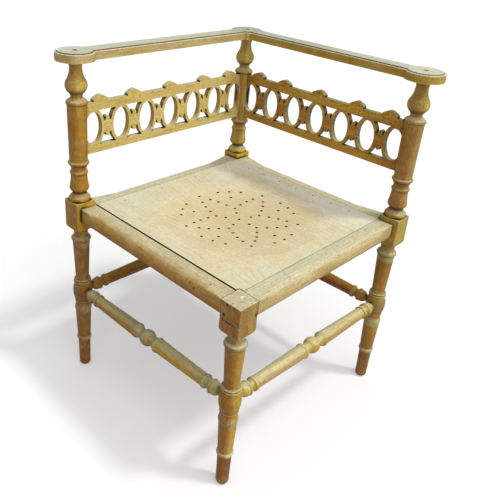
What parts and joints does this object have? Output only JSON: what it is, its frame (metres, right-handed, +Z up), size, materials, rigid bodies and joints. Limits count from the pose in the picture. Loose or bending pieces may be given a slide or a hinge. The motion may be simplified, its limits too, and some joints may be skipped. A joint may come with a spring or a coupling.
{
  "type": "corner chair",
  "caption": "Wooden corner chair with turned posts, rounded seat rails, a dished perforated seat, pierced back rails and flat round-ended arms mitred at the back corner.",
  "frame": {"origin": "on the floor, in the middle of the rectangle through the post axes", "axes": "+Z up; the front leg stands towards -X -Y and the back corner post towards +X +Y"},
  "size_m": [0.557, 0.537, 0.743],
  "materials": {
    "turned_wood": "worn bare hardwood, turned, golden brown with pale edges and dirt in the grooves",
    "stretcher_wood": "worn bare hardwood, turned, ochre brown with grey-green upper faces",
    "rail_wood": "worn bare hardwood, pale cream on top and ochre on the front",
    "panel_wood": "thin pressed board, bleached cream, worn tan in the middle",
    "pierced_wood": "sawn bare hardwood, straw to ochre",
    "arm_wood": "bleached greyish cream hardwood, matt",
    "peg_wood": "dark end grain",
    "nail_steel": "dull dark steel",
    "screw_steel": "dull dark steel"
  },
  "bodies": {
    "root": {"post_left": "turned_wood", "post_right": "turned_wood", "post_back": "turned_wood", "front_leg": "turned_wood", "stretcher_front_left": "stretcher_wood", "stretcher_front_right": "stretcher_wood", "stretcher_back_left": "stretcher_wood", "stretcher_back_right": "stretcher_wood", "seat_rail_front_left": "rail_wood", "seat_rail_front_right": "rail_wood", "seat_rail_back_left": "rail_wood", "seat_rail_back_right": "rail_wood", "seat_panel": "panel_wood", "pierced_rail_left": "pierced_wood", "pierced_rail_right": "pierced_wood", "arm_left": "arm_wood", "arm_right": "arm_wood", "rail_pegs": "peg_wood", "arm_corner_dowels": "peg_wood", "seat_panel_nails": "nail_steel", "arm_screws": "screw_steel"}
  },
  "joints": []
}
